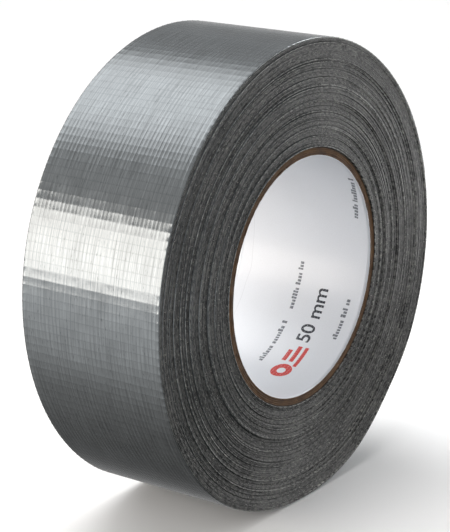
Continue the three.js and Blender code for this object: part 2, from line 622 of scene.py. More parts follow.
@dataclass(frozen=True)
class CoatedPaper:
    """Clay-coated white paper, calendered: bright, slightly blue, with a soft sheen."""

    colour: str = "#e1e4e9"
    roughness: float = 0.38
    coat: float = 0.35
    coat_roughness: float = 0.22
    grain: float = 0.3 * MM
    crease: float = 20.6 * MM

    def build(self) -> Material:
        """Makes the material."""
        material, tree, shader = new_material("clay-coated paper")
        space = coordinates(tree, Coordinates.SPACE)
        grain = noise(tree, space, 1 / self.grain, 3.0)
        cockle = noise(tree, space, 1 / (12 * MM), 1.0)
        tone = add(tree, RANGE, grain, 0.3, 0.7, 0.97, 1.02)
        # A faint crease runs round the liner where it was trimmed, near the back, painted as a line of
        # shade.
        depth = add(tree, SEPARATE, space).outputs["Y"]
        waver = maths(tree, "MULTIPLY_ADD", cockle, 2 * MM, self.crease - MM)
        away = maths(tree, "ABSOLUTE", maths(tree, "SUBTRACT", depth, waver))
        crease_shade = add(tree, RANGE, away, 0.0, 0.16 * MM, 0.84, 1.0)
        shade = maths(tree, "MULTIPLY", tone, crease_shade)
        toned = scaled(tree, linear(self.colour)[:3], shade)
        height = maths(tree, "MULTIPLY_ADD", cockle, 6.0, grain)
        bump = embossed(tree, 0.2, 0.02 * MM, height)
        fill(
            tree,
            shader,
            {
                "Base Color": toned,
                "Normal": bump,
                "Roughness": self.roughness,
                "Coat Weight": self.coat,
                "Coat Roughness": self.coat_roughness,
            },
        )
        return material


@dataclass(frozen=True)
class PrintInk:
    """Flexographic ink on the liner: a thin even film, a little mottled where it took badly."""

    name: str
    colour: str
    roughness: float = 0.45

    def build(self) -> Material:
        """Makes the material."""
        material, tree, shader = new_material(self.name)
        space = coordinates(tree, Coordinates.SPACE)
        mottle = noise(tree, space, 1 / (0.5 * MM), 3.0)
        tone = add(tree, RANGE, mottle, 0.3, 0.7, 0.85, 1.2)
        toned = scaled(tree, linear(self.colour)[:3], tone)
        fill(tree, shader, {"Base Color": toned, "Roughness": self.roughness})
        return material


@dataclass(frozen=True)
class NaturalAdhesive:
    """Calendered natural rubber adhesive: off-white grey, tacky, with a wet sheen."""

    colour: str = "#a3a39a"
    thread_colour: str = "#c2c2b8"
    roughness: float = 0.34
    ior: float = 1.52

    def build(self) -> Material:
        """Makes the material."""
        material, tree, shader = new_material("natural rubber adhesive")
        place = coordinates(tree, Coordinates.STRIP)
        thread = attribute(tree, "thread")
        smear = noise(tree, place, 1 / (2.5 * MM), 4.0)
        tone = add(tree, RANGE, smear, 0.3, 0.7, 0.85, 1.12)
        base = mixed(tree, thread, linear(self.colour), linear(self.thread_colour))
        toned = scaled(tree, base, tone)
        bump = embossed(tree, 0.5, 0.03 * MM, smear)
        fill(
            tree,
            shader,
            {"Base Color": toned, "Normal": bump, "Roughness": self.roughness, "IOR": self.ior},
        )
        return material


@dataclass(frozen=True)
class CottonYarn:
    """Cotton and polyester yarn of the scrim: off-white, dull, with a fine twist."""

    colour: str = "#c9c8be"
    roughness: float = 0.85
    twist: float = 0.2 * MM

    def build(self) -> Material:
        """Makes the material."""
        material, tree, shader = new_material("cotton polyester yarn")
        space = coordinates(tree, Coordinates.SPACE)
        twist = noise(tree, space, 1 / self.twist, 2.0)
        tone = add(tree, RANGE, twist, 0.3, 0.7, 0.75, 1.15)
        toned = scaled(tree, linear(self.colour)[:3], tone)
        bump = embossed(tree, 0.6, 0.03 * MM, twist)
        fill(tree, shader, {"Base Color": toned, "Normal": bump, "Roughness": self.roughness})
        return material


@dataclass
class Finishes:
    """Every material of the roll, made once."""

    film: Material = field(default_factory=lambda: SilverFilm().build())
    edge: Material = field(default_factory=lambda: SlitEdge().build())
    board: Material = field(default_factory=lambda: KraftBoard().build())
    paper: Material = field(default_factory=lambda: CoatedPaper().build())
    glue: Material = field(default_factory=lambda: NaturalAdhesive().build())
    yarn: Material = field(default_factory=lambda: CottonYarn().build())
    red_ink: Material = field(
        default_factory=lambda: PrintInk("red flexographic ink", "#c9352f").build()
    )
    black_ink: Material = field(
        default_factory=lambda: PrintInk("black flexographic ink", "#2b2f38").build()
    )
    grey_ink: Material = field(
        default_factory=lambda: PrintInk("grey flexographic ink", "#6d7178").build()
    )


# ---- Trees that several pieces share ----------------------------------------------------


@dataclass(frozen=True)
class Dip:
    """A shallow place in the round of the roll, where it was pressed or stood on."""

    centre: float
    half_width: float
    depth: float


@dataclass
class Slump:
    """A tree that gives how far a place on the roll has sunk inwards.

    A wound roll is never quite round. It gives way most at its outside and not at its core.
    """

    strip: Strip
    dips: tuple[Dip, ...] = (
        Dip(math.radians(-96), math.radians(30), 0.9 * MM),
        Dip(math.radians(-46), math.radians(20), 1.1 * MM),
        Dip(math.radians(58), math.radians(26), 0.12 * MM),
    )

    def build(self) -> NodeTree:
        """Makes the tree: a plan position in, and the offset that sinks it out."""
        tree = new_tree("Slump", {"Place": "Vector"}, output="Vector")
        place = add(tree, "NodeGroupInput").outputs["Place"]
        flat = add(tree, VECTOR, place, (1.0, 1.0, 0.0), operation="MULTIPLY")
        parts = add(tree, SEPARATE, flat)
        angle = maths(tree, "ARCTAN2", parts.outputs["Y"], parts.outputs["X"])
        total: Node | float = 0.0
        for dip in self.dips:
            apart = maths(tree, "SUBTRACT", angle, dip.centre)
            wrapped = maths(tree, "WRAP", apart, math.pi, -math.pi)
            away = maths(tree, "ABSOLUTE", wrapped)
            depth = add(
                tree, RANGE, away, dip.half_width, 0.0, 0.0, dip.depth, interpolation_type="SMOOTHSTEP"
            )
            total = maths(tree, "ADD", depth, total)
        reach = add(tree, VECTOR, flat, operation="LENGTH").outputs["Value"]
        outside = self.strip.radius(self.strip.last_turn)
        share = add(tree, RANGE, reach, self.strip.core_radius, outside, 0.0, 1.0)
        eased = maths(tree, "POWER", share, 2.0)
        inward = maths(tree, "MULTIPLY", eased, -1.0)
        amount = maths(tree, "MULTIPLY", total, inward)
        outward = add(tree, VECTOR, flat, operation="NORMALIZE")
        offset = scaled(tree, outward, amount)
        add(tree, "NodeGroupOutput", offset)
        return tree


def slumped(tree: NodeTree, geometry: Node, slump: NodeTree) -> Node:
    """Adds the nodes that sink a tree's geometry as the whole roll has sunk.

    Args:
        tree: The tree.
        geometry: The node whose geometry sinks.
        slump: The slump tree.

    Returns:
        The node that gives the sunk geometry.
    """
    place = add(tree, POSITION)
    group = add(tree, "GeometryNodeGroup", node_tree=slump)
    tree.links.new(place.outputs[0], group.inputs["Place"])
    return add(tree, MOVE, geometry, {"Offset": group})


def finish_tree(tree: NodeTree, geometry: Node, material: NodeSocket) -> None:
    """Ends a tree: stands the plan up, realizes instances and sets the material.

    Args:
        tree: The tree.
        geometry: The node that gives the finished plan geometry.
        material: The tree's material input.
    """
    upright = (math.radians(90), 0.0, 0.0)
    stood = add(tree, TRANSFORM, geometry, {"Rotation": upright})
    whole = add(tree, REALIZE, stood)
    smooth = add(tree, "GeometryNodeSetShadeSmooth", whole)
    dressed = add(tree, "GeometryNodeSetMaterial", smooth, {"Material": material})
    add(tree, "NodeGroupOutput", dressed)


# ---- The wound turns --------------------------------------------------------------------


@dataclass
class WoundTurns:
    """The turns under the last one, as the real spiral strip, in groups.

    The strip wanders along the axis as it winds, so some turns stand proud of the sides and
    catch the light, and others sit back in shade. The edge finish also paints proud turns
    lighter and sunk ones darker, as painted highlight and shade.
    """

    strip: Strip
    slump: NodeTree
    points_per_turn: int = 144
    thickness_share: float = 0.97
    edge_round: float = 0.05 * MM
    drift: float = 0.16 * MM
    drift_scale: float = 0.55
    jitter: float = 0.12 * MM
    jitter_scale: float = 2.3
    sunk: float = 0.4 * MM
    proud: float = 0.28 * MM
    odd_scale: float = 0.85
    lead_in: float = 0.7

    def tree(self) -> NodeTree:
        """Makes the tree that winds one group of turns."""
        turns = ("First Winding", "Turns", "Start Radius", "End Radius", "Start Angle")
        numbers = dict.fromkeys((*turns, "Shift Before", "Shift"), "Float")
        tree = new_tree("Wound turns", numbers | {"Material": "Material"})
        given = add(tree, "NodeGroupInput").outputs
        spiral = add(
            tree,
            "GeometryNodeCurveSpiral",
            {
                "Resolution": self.points_per_turn,
                "Rotations": given["Turns"],
                "Start Radius": given["Start Radius"],
                "End Radius": given["End Radius"],
                "Height": 0.0,
            },
        )
        index = add(tree, INDEX)
        wound = maths(tree, "DIVIDE", index, float(self.points_per_turn))
        winding = maths(tree, "ADD", wound, given["First Winding"])
        own, shift = self.wander(tree, given, winding, wound)
        with_turn = store(tree, spiral, "turn", winding)
        stored = store(tree, with_turn, "shift", own)
        offset = add(tree, COMBINE, 0.0, 0.0, shift)
        shifted = add(tree, MOVE, stored, {"Offset": offset})
        normal = add(tree, "GeometryNodeSetCurveNormal", shifted, mode="Z_UP")
        swept = add(tree, SWEEP, normal, self.section(tree), {"Fill Caps": True})
        angle = add(tree, COMBINE, 0.0, 0.0, given["Start Angle"])
        turned = add(tree, TRANSFORM, swept, {"Rotation": angle})
        finish_tree(tree, slumped(tree, turned, self.slump), given["Material"])
        return tree

    def wander(self, tree: NodeTree, given: NodeOutputs, winding: Node, wound: Node) -> tuple[Node, Node]:
        """Adds the strip's shift towards the front at each point of the spiral.

        Args:
            tree: The tree.
            given: The tree's inputs.
            winding: Turns counted from the core.
            wound: Turns counted from the start of this group.

        Returns:
            The turn's own shift, and its shift with its group.
        """
        eased = add(tree, RANGE, wound, 0.0, self.lead_in, given["Shift Before"], given["Shift"])
        total: Node | float = 0.0
        for scale, size in ((self.drift_scale, self.drift), (self.jitter_scale, self.jitter)):
            drift = noise_along(tree, winding, scale)
            centred = maths(tree, "SUBTRACT", drift, 0.5)
            total = maths(tree, "MULTIPLY_ADD", centred, 2 * size, total)
        # Odd turns sit well back or stand well out, and so does the first of each group.
        odd = noise_along(tree, winding, self.odd_scale, 0.0)
        ends = (
            (odd, 0.38, 0.28, -self.sunk),
            (odd, 0.7, 0.8, self.proud),
            (wound, 1.15, 0.85, self.proud),
        )
        for source, low, high, size in ends:
            ramp = add(tree, RANGE, source, low, high, 0.0, size)
            total = maths(tree, "ADD", total, ramp)
        return total, maths(tree, "ADD", total, eased)

    def section(self, tree: NodeTree) -> Node:
        """Adds the strip's cross-section, with X as depth and Y across the width."""
        thickness = self.thickness_share * self.strip.thickness
        box = add(tree, RECTANGLE, {"Width": thickness, "Height": self.strip.width})
        corner = {"Curve": box, "Count": 1, "Radius": self.edge_round}
        rounded = add(tree, "GeometryNodeFilletCurve", corner, mode="POLY")
        middle = (thickness / 2, 0.0, 0.0)
        placed = add(tree, TRANSFORM, rounded, {"Translation": middle})
        depth = add(tree, SEPARATE, add(tree, POSITION)).outputs["X"]
        layer = maths(tree, "DIVIDE", depth, thickness)
        return store(tree, placed, "layer", layer)

    def build(self, finishes: Finishes) -> None:
        """Winds every group."""
        tree = self.tree()
        starts = self.strip.boundaries[:-1]
        ends = self.strip.boundaries[1:]
        shifts = [towards * MM for towards in self.strip.towards_front]
        for number, (start, end) in enumerate(zip(starts, ends), start=1):
            name = f"tape_turns_{number}"
            values = {
                "First Winding": float(start),
                "Turns": float(end - start),
                "Start Radius": self.strip.radius(start),
                "End Radius": self.strip.radius(end),
                "Start Angle": self.strip.free_angle,
                "Shift Before": shifts[max(number - 2, 0)],
                "Shift": shifts[number - 1],
                "Material": finishes.edge,
            }
            piece = grow(f"wound_{name}", tree, values)
            settle(piece, "roll", "wound_tape_edge", name)


# ---- The last turn and the end that peels -----------------------------------------------


class Face(Enum):
    """Which face of a layer carries the print of the threads."""

    OUTSIDE = 1.0
    INSIDE = -1.0


@dataclass(frozen=True)
class Layer:
    """One layer of the strip in the last turn."""

    name: str
    slot: str
    depth: float
    thickness: float
    face: Face
    ridge: float
    edge_roll: float


@dataclass
class LastTurn:
    """The last turn and the free end, layer by layer.

    Film and adhesive are closed sheets with the cloth's threads printed in them as ridges,
    with points only where a ridge rises, peaks and ends. The cloth between is real threads.
    """

    strip: Strip
    slump: NodeTree
    ridge_width: float = 0.6 * MM
    ridge_height: float = 0.036 * MM
    glue_ridge_height: float = 0.02 * MM
    edge_roll: float = 0.1 * MM
    weft_share: float = 0.62
    weft_wobble: float = 0.35
    warp_thickness_share: float = 0.45
    warp_width: float = 0.3 * MM
    weft_radius_share: float = 0.4
    weft_length_share: float = 0.998
    notch: float = 0.5
    roll_width: float = 0.9 * MM
    ripple: float = 0.05 * MM
    tear: float = 0.7 * MM
    steps_per_thread: int = 4
    lengths: tuple[float, ...] = (4, 10, 10, 10, 10, 6)

    def layers(self) -> tuple[Layer, Layer]:
        """The film and the adhesive, from the outside inwards."""
        strip = self.strip
        glue_depth = strip.film + strip.scrim + 2 * strip.gap
        glue = strip.thickness - glue_depth - strip.gap
        return (
            Layer(
                "backing",
                "backing_film",
                0.0,
                strip.film,
                Face.OUTSIDE,
                self.ridge_height,
                self.edge_roll,
            ),
            Layer("adhesive", "adhesive", glue_depth, glue, Face.INSIDE, self.glue_ridge_height, 0.0),
        )

    def path(self, tree: NodeTree, given: NodeOutputs) -> Node:
        """Adds the curve that the sheet follows, with points where weft ridges need them.

        Args:
            tree: The tree.
            given: The tree's inputs.

        Returns:
            The node that gives the curve, which carries "arc" and "weft".
        """
        strip = self.strip
        steps = float(self.steps_per_thread)
        count = maths(tree, "MULTIPLY_ADD", given["Wefts"], steps, 1.0)
        line = add(tree, LINE, {"Count": count, "Offset": (0.0, 0.0, MM)})
        index = add(tree, INDEX)
        ridge_angle = self.ridge_width / strip.radius(strip.last_turn)
        thread, local, height = self.ridge(tree, index, strip.weft_pitch, ridge_angle)
        number = maths(tree, "ADD", thread, given["First Weft"])
        wobble = noise_along(tree, number, 3.7, 0.0)
        jitter = maths(tree, "MULTIPLY", wobble, self.weft_wobble * strip.weft_pitch)
        whole = maths(tree, "MULTIPLY_ADD", number, strip.weft_pitch, local)
        wound = maths(tree, "ADD", whole, jitter)
        turned = maths(tree, "MULTIPLY", wound, 1 / FULL_TURN)
        start_radius = strip.radius(strip.last_turn - 1)
        radius = maths(tree, "MULTIPLY_ADD", turned, strip.thickness, start_radius)
        angle = maths(tree, "SUBTRACT", strip.free_angle + FULL_TURN, wound)
        east = maths(tree, "COSINE", angle)
        north = maths(tree, "SINE", angle)
        unit = add(tree, COMBINE, east, north, 0.0)
        point = scaled(tree, unit, radius)
        curve = add(tree, "GeometryNodeMeshToCurve", line)
        arc = maths(tree, "MULTIPLY", wound, radius)
        with_arc = store(tree, curve, "arc", arc)
        with_weft = store(tree, with_arc, "weft", height)
        placed = add(tree, MOVE, with_weft, {"Position": point})
        return add(tree, "GeometryNodeSetCurveNormal", placed, mode="Z_UP")

    def ridge(self, tree: NodeTree, index: Node, pitch: float, width: float) -> tuple[Node, Node, Node]:
        """Adds the nodes that spread points over threads: foot, peak, foot, then the flat.

        Args:
            tree: The tree.
            index: The point's number.
            pitch: The distance from thread to thread.
            width: The width of a ridge.

        Returns:
            The thread's number, the point's place from the thread's start, and its height
            from 0 to 1.
        """
        steps = float(self.steps_per_thread)
        thread = maths(tree, "FLOOR", maths(tree, "DIVIDE", index, steps))
        phase = maths(tree, "MODULO", index, steps)
        rising = maths(tree, "MINIMUM", phase, 2.0)
        beyond = maths(tree, "MAXIMUM", maths(tree, "SUBTRACT", phase, 2.0), 0.0)
        on_flat = maths(tree, "MULTIPLY", beyond, (pitch - width) / 2)
        local = maths(tree, "MULTIPLY_ADD", rising, width / 2, on_flat)
        away = maths(tree, "ABSOLUTE", maths(tree, "SUBTRACT", phase, 1.0))
        below = maths(tree, "SUBTRACT", 1.0, away)
        height = maths(tree, "MAXIMUM", below, 0.0)
        return thread, local, height

    def section(self, tree: NodeTree, given: NodeOutputs) -> Node:
        """Adds the sheet's cross-section: a ridged side and a plain side.

        Args:
            tree: The tree.
            given: The tree's inputs.

        Returns:
            The node that gives the closed profile, which carries "across", "warp" and "ridged".
        """
        strip = self.strip
        pitch = strip.width / strip.warp_threads
        ridged_points = self.steps_per_thread * strip.warp_threads + 1
        line = add(tree, LINE, {"Count": ridged_points + 2, "Offset": (MM, 0.0, 0.0)})
        index = add(tree, INDEX)
        thread, local, height = self.ridge(tree, index, pitch, self.ridge_width)
        from_edge = maths(tree, "MULTIPLY_ADD", thread, pitch, local)
        ridged = maths(tree, "LESS_THAN", index, float(ridged_points))
        first_back = maths(tree, "COMPARE", index, float(ridged_points))
        back_edge = maths(tree, "MULTIPLY", first_back, strip.width)
        reach = add(tree, SWITCH, ridged, back_edge, from_edge, input_type="FLOAT")
        centred = maths(tree, "SUBTRACT", strip.width / 2, reach)
        across = maths(tree, "MULTIPLY", centred, given["Side"])
        from_middle = maths(tree, "ABSOLUTE", across)
        edge = maths(tree, "SUBTRACT", from_middle, strip.width / 2)
        close = add(tree, RANGE, edge, -self.roll_width, 0.0, 0.0, 1.0)
        eased = maths(tree, "POWER", close, 2.0)
        rolled = maths(tree, "MULTIPLY", eased, given["Edge Roll"])
        ridge = maths(tree, "MULTIPLY", height, given["Ridge"])
        rise = maths(tree, "MULTIPLY", ridge, given["Side"])
        relief = maths(tree, "SUBTRACT", rolled, rise)
        ridged_depth = maths(tree, "ADD", given["Ridged Depth"], relief)
        plain_depth = maths(tree, "ADD", given["Plain Depth"], rolled)
        depth = add(tree, SWITCH, ridged, plain_depth, ridged_depth, input_type="FLOAT")
        point = add(tree, COMBINE, depth, across, 0.0)
        curve = add(tree, "GeometryNodeMeshToCurve", line)
        placed = add(tree, MOVE, curve, {"Position": point})
        # The numbers are stored from the index, so they come before the curve is swept.
        named = placed
        on_warp = maths(tree, "MULTIPLY", height, ridged)
        for label, value in (("across", across), ("warp", on_warp), ("ridged", ridged)):
            named = store(tree, named, label, value)
        return add(tree, "GeometryNodeSetSplineCyclic", named, {"Cyclic": True})

    def sheet_tree(self) -> NodeTree:
        """Makes the tree for a sheet of film or adhesive."""
        depths = ("Ridged Depth", "Plain Depth", "Ridge", "Edge Roll", "Tear")
        numbers = dict.fromkeys(("First Weft", "Side", *depths), "Float")
        tree = new_tree("Ridged sheet", numbers | {"Wefts": "Int", "Material": "Material"})
        given = add(tree, "NodeGroupInput").outputs
        swept = add(tree, SWEEP, self.path(tree, given), self.section(tree, given), {"Fill Caps": True})
        stored = {
            label: add(tree, "GeometryNodeInputNamedAttribute", {"Name": label}, data_type="FLOAT")
            for label in ("arc", "weft", "across", "warp", "ridged")
        }
        place = add(tree, POSITION)
        flat = add(tree, VECTOR, place, (1.0, 1.0, 0.0), operation="MULTIPLY")
        outward = add(tree, VECTOR, flat, operation="NORMALIZE")
        # A weft ridge is lower where a warp thread has lifted the sheet already.
        free = maths(tree, "MULTIPLY_ADD", stored["warp"], -0.5, 1.0)
        lift = maths(tree, "MULTIPLY", stored["weft"], free)
        uneven = noise(tree, place, 1 / (4 * MM), 1.0)
        strength = add(tree, RANGE, uneven, 0.35, 0.65, 0.3 * self.weft_share, self.weft_share)
        felt = maths(tree, "MULTIPLY", lift, strength)
        flat_rise = maths(tree, "MULTIPLY", felt, given["Ridge"])
        # Cut weft ends lift the film's two edges, so the roll's outline is finely notched.
        from_middle = maths(tree, "ABSOLUTE", stored["across"])
        half = self.strip.width / 2
        on_edge = add(tree, RANGE, from_middle, half - 1.3 * MM, half - 0.2 * MM, 0.0, 1.0)
        edge_lift = maths(tree, "MULTIPLY", stored["weft"], on_edge)
        notch = maths(tree, "MULTIPLY", edge_lift, given["Edge Roll"])
        rise = maths(tree, "MULTIPLY_ADD", notch, self.notch, flat_rise)
        wave = noise(tree, place, 1 / (14 * MM), 3.0)
        swell = maths(tree, "SUBTRACT", wave, 0.5)
        ripple = maths(tree, "MULTIPLY_ADD", swell, self.ripple, rise)
        masked = maths(tree, "MULTIPLY", ripple, stored["ridged"])
        sided = maths(tree, "MULTIPLY", masked, given["Side"])
        offset = scaled(tree, outward, sided)
        raised = add(tree, MOVE, swept, {"Offset": offset})
        torn = self.torn(tree, raised, given, stored, outward)
        sunk = slumped(tree, torn, self.slump)
        thread = maths(tree, "MAXIMUM", stored["warp"], stored["weft"])
        place_on_strip = add(tree, COMBINE, stored["arc"], stored["across"], 0.0)
        with_thread = store(tree, sunk, "thread", thread)
        mapped = add(
            tree,
            STORE,
            with_thread,
            {"Name": Coordinates.STRIP.value, "Value": place_on_strip},
            data_type="FLOAT2",
            domain="CORNER",
        )
        finish_tree(tree, mapped, given["Material"])
        return tree

    def torn(
        self, tree: NodeTree, geometry: Node, given: NodeOutputs, stored: dict[str, Node], outward: Node
    ) -> Node:
        """Adds the ragged tear of the free edge, which eats back along the strip.

        Args:
            tree: The tree.
            geometry: The node whose geometry is torn.
            given: The tree's inputs.
            stored: The stored numbers by name.
            outward: The direction away from the roll's axis.

        Returns:
            The node that gives the torn geometry.
        """
        outside = self.strip.radius(self.strip.last_turn)
        end = FULL_TURN * outside
        near = add(tree, RANGE, stored["arc"], end - 3 * MM, end, 0.0, 1.0)
        ragged = noise_along(tree, stored["across"], 1 / (1.6 * MM), 4.0)
        back = maths(tree, "MULTIPLY", ragged, near)
        length = maths(tree, "MULTIPLY", back, given["Tear"])
        along = add(tree, VECTOR, (0.0, 0.0, 1.0), outward, operation="CROSS_PRODUCT")
        offset = scaled(tree, along, length)
        return add(tree, MOVE, geometry, {"Offset": offset})

    def cloth_tree(self) -> NodeTree:
        """Makes the tree for the scrim: warp threads along the strip, weft threads across."""
        strip = self.strip
        depth = strip.film + strip.gap + strip.scrim / 2
        tree = new_tree("Scrim cloth", {"First Weft": "Float", "Wefts": "Int", "Material": "Material"})
        given = add(tree, "NodeGroupInput").outputs
        path = self.path(tree, given)
        pitch = strip.width / strip.warp_threads
        thickness = self.warp_thickness_share * strip.scrim
        yarn = add(tree, RECTANGLE, {"Width": thickness, "Height": self.warp_width})
        first = (depth, self.ridge_width / 2 - strip.width / 2, 0.0)
        spread = {"Count": strip.warp_threads, "Start Location": first, "Offset": (0.0, pitch, 0.0)}
        rows = add(tree, LINE, spread)
        section = add(tree, INSTANCES, rows, {"Instance": yarn})
        sections = add(tree, REALIZE, section)
        warps = add(tree, SWEEP, path, sections, {"Fill Caps": True})
        # Weft threads are short bars across the strip, one at each ridge's peak.
        radius = self.weft_radius_share * strip.scrim
        length = self.weft_length_share * strip.width
        bar = add(tree, "GeometryNodeMeshCylinder", {"Vertices": 6, "Radius": radius, "Depth": length})
        weft = add(tree, "GeometryNodeInputNamedAttribute", {"Name": "weft"}, data_type="FLOAT")
        peak = maths(tree, "GREATER_THAN", weft, 0.5)
        posts = add(tree, "GeometryNodeCurveToPoints", path, mode="EVALUATED")
        place = add(tree, POSITION)
        outward = add(tree, VECTOR, place, operation="NORMALIZE")
        inward = scaled(tree, outward, -depth)
        seated = add(tree, MOVE, posts, {"Offset": inward})
        wefts = add(tree, INSTANCES, seated, {"Selection": peak, "Instance": bar.outputs["Mesh"]})
        joined = add(tree, "GeometryNodeJoinGeometry")
        whole_wefts = add(tree, REALIZE, wefts)
        for part in (warps, whole_wefts):
            tree.links.new(part.outputs[0], joined.inputs[0])
        finish_tree(tree, slumped(tree, joined, self.slump), given["Material"])
        return tree

    def build(self, finishes: Finishes) -> None:
        """Makes the last turn on the roll and the lengths of the free end."""
        sheet = self.sheet_tree()
        cloth = self.cloth_tree()
        hinge = self.strip.winding(hinge_angle("end_flap_peel")) - (self.strip.last_turn - 1)
        turn_wefts = round(hinge * FULL_TURN / self.strip.weft_pitch)
        spans = [(0, turn_wefts)]
        for wefts in self.lengths[:-1]:
            spans.append((spans[-1][0] + spans[-1][1], int(wefts / 2)))
        last = sum(spans[-1])
        spans.append((last, round(FULL_TURN / self.strip.weft_pitch) - last))
        for number, (first, wefts) in enumerate(spans):
            values = {"First Weft": float(first), "Wefts": wefts}
            owner = "outer_turn" if number == 0 else f"end_flap_{number}"
            for layer, material in zip(self.layers(), (finishes.film, finishes.glue)):
                ridged, plain = layer.depth, layer.depth + layer.thickness
                if layer.face is Face.INSIDE:
                    ridged, plain = plain, ridged
                own = {
                    "Side": layer.face.value,
                    "Ridged Depth": ridged,
                    "Plain Depth": plain,
                    "Ridge": layer.ridge,
                    "Edge Roll": layer.edge_roll,
                    "Tear": self.tear,
                    "Material": material,
                }
                piece = grow(f"{owner}_{layer.name}_sheet", sheet, values | own)
                self.join(piece, number, layer.name, layer.slot)
            piece = grow(f"{owner}_scrim_cloth", cloth, values | {"Material": finishes.yarn})
            self.join(piece, number, "scrim", "scrim_cloth")

    def join(self, piece: Object, number: int, layer: str, slot: str) -> None:
        """Puts a length on the roll or on the last body, or bakes a length between where it lies.

        Args:
            piece: The finished piece.
            number: 0 for the turn on the roll, then 1 from the hinge to the free edge.
            layer: The layer's name in the solids.
            slot: The record's material slot.
        """
        bodies = ["roll"] + [f"end_flap_{i}" for i in range(1, len(self.lengths))]
        if number == 0:
            settle(piece, "roll", slot, f"outer_turn_{layer}")
            return
        if number == len(self.lengths):
            settle(piece, bodies[-1], slot)
            return
        strip = self.strip
        before = sum(self.lengths[: number - 1])
        hinge = hinge_angle("end_flap_peel")
        ends = [hinge - math.radians(before + part) for part in (0, self.lengths[number - 1])]
        start, end = (
            Vector((math.cos(angle), 0.0, math.sin(angle))) * strip.radius(strip.winding(angle))
            for angle in ends
        )
        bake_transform(piece)
        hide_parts(f"end_flap_{number}_{layer}")
        LOG.info("%s: %d faces across %s", piece.name, len(piece.data.polygons), bodies[number])


# ---- Loose thread ends ------------------------------------------------------------------


@dataclass
class ThreadEnds:
    """Cut scrim threads that stick out of both sides of the roll as short lint."""

    strip: Strip
    slump: NodeTree
    count: int = 2400
    ringed_share: float = 0.75
    rings: int = 15
    length: float = 0.3 * MM
    radius: float = 0.05 * MM

    def tree(self) -> NodeTree:
        """Makes the tree that scatters thread ends over one side."""
        tree = new_tree(
            "Thread ends", {"Seed": "Int", "Height": "Float", "Side": "Float", "Material": "Material"}
        )
        given = add(tree, "NodeGroupInput").outputs
        line = add(tree, LINE, {"Count": self.count, "Offset": (0.0, 0.0, 0.0)})
        ranges = ((0.0, FULL_TURN), (0.0, 1.0), (-0.9, 0.9), (-0.9, 0.9), (0.5, 1.6))
        drawn = []
        for salt, (low, high) in enumerate(ranges):
            seed = maths(tree, "ADD", given["Seed"], float(salt))
            chance = {2: low, 3: high, "Seed": seed}
            drawn.append(add(tree, "FunctionNodeRandomValue", chance, data_type="FLOAT").outputs[1])
        angle, share, lean_x, lean_y, size = drawn
        # Most ends stand in dotted rings, one for each weft thread; the rest are loose.
        number = add(tree, INDEX)
        ringed = maths(tree, "LESS_THAN", number, self.ringed_share * self.count)
        on_ring = maths(tree, "SNAP", share, 1 / self.rings)
        on_weft = maths(tree, "SNAP", angle, self.strip.weft_pitch)
        share = add(tree, SWITCH, ringed, share, on_ring, input_type="FLOAT")
        angle = add(tree, SWITCH, ringed, angle, on_weft, input_type="FLOAT")
        inner = self.strip.core_radius + 1.1 * MM
        outer = self.strip.radius(self.strip.last_turn - 1)
        reach = add(tree, RANGE, share, 0.0, 1.0, inner, outer)
        east = maths(tree, "COSINE", angle)
        north = maths(tree, "SINE", angle)
        unit = add(tree, COMBINE, east, north, 0.0)
        spot = scaled(tree, unit, reach)
        lifted = add(tree, VECTOR, spot, add(tree, COMBINE, 0.0, 0.0, given["Height"]), operation="ADD")
        placed = add(tree, MOVE, line, {"Position": lifted})
        stub = add(
            tree,
            "GeometryNodeMeshCone",
            {
                "Vertices": 4,
                "Radius Top": 0.5 * self.radius,
                "Radius Bottom": self.radius,
                "Depth": self.length,
            },
        )
        turned = maths(tree, "MULTIPLY", given["Side"], math.pi)
        tilt = add(tree, COMBINE, maths(tree, "ADD", lean_x, turned), lean_y, angle)
        rotation = add(tree, "FunctionNodeEulerToRotation", tilt)
        instances = add(
            tree,
            INSTANCES,
            placed,
            {
                "Instance": stub.outputs["Mesh"],
                "Rotation": rotation,
                "Scale": add(tree, COMBINE, 1.0, 1.0, size),
            },
        )
        realized = add(tree, REALIZE, instances)
        finish_tree(tree, slumped(tree, realized, self.slump), given["Material"])
        return tree

    def build(self, finishes: Finishes) -> None:
        """Scatters lint on the front and the back."""
        tree = self.tree()
        for seed, (name, side) in enumerate((("front", 0.0), ("back", 1.0)), start=7):
            height = (0.5 - side) * (self.strip.width + 0.1 * MM)
            values = {"Seed": seed, "Height": height, "Side": side, "Material": finishes.yarn}
            piece = grow(f"thread_ends_{name}", tree, values)
            settle(piece, "roll", "scrim_cloth")


# ---- The core and its liner -------------------------------------------------------------


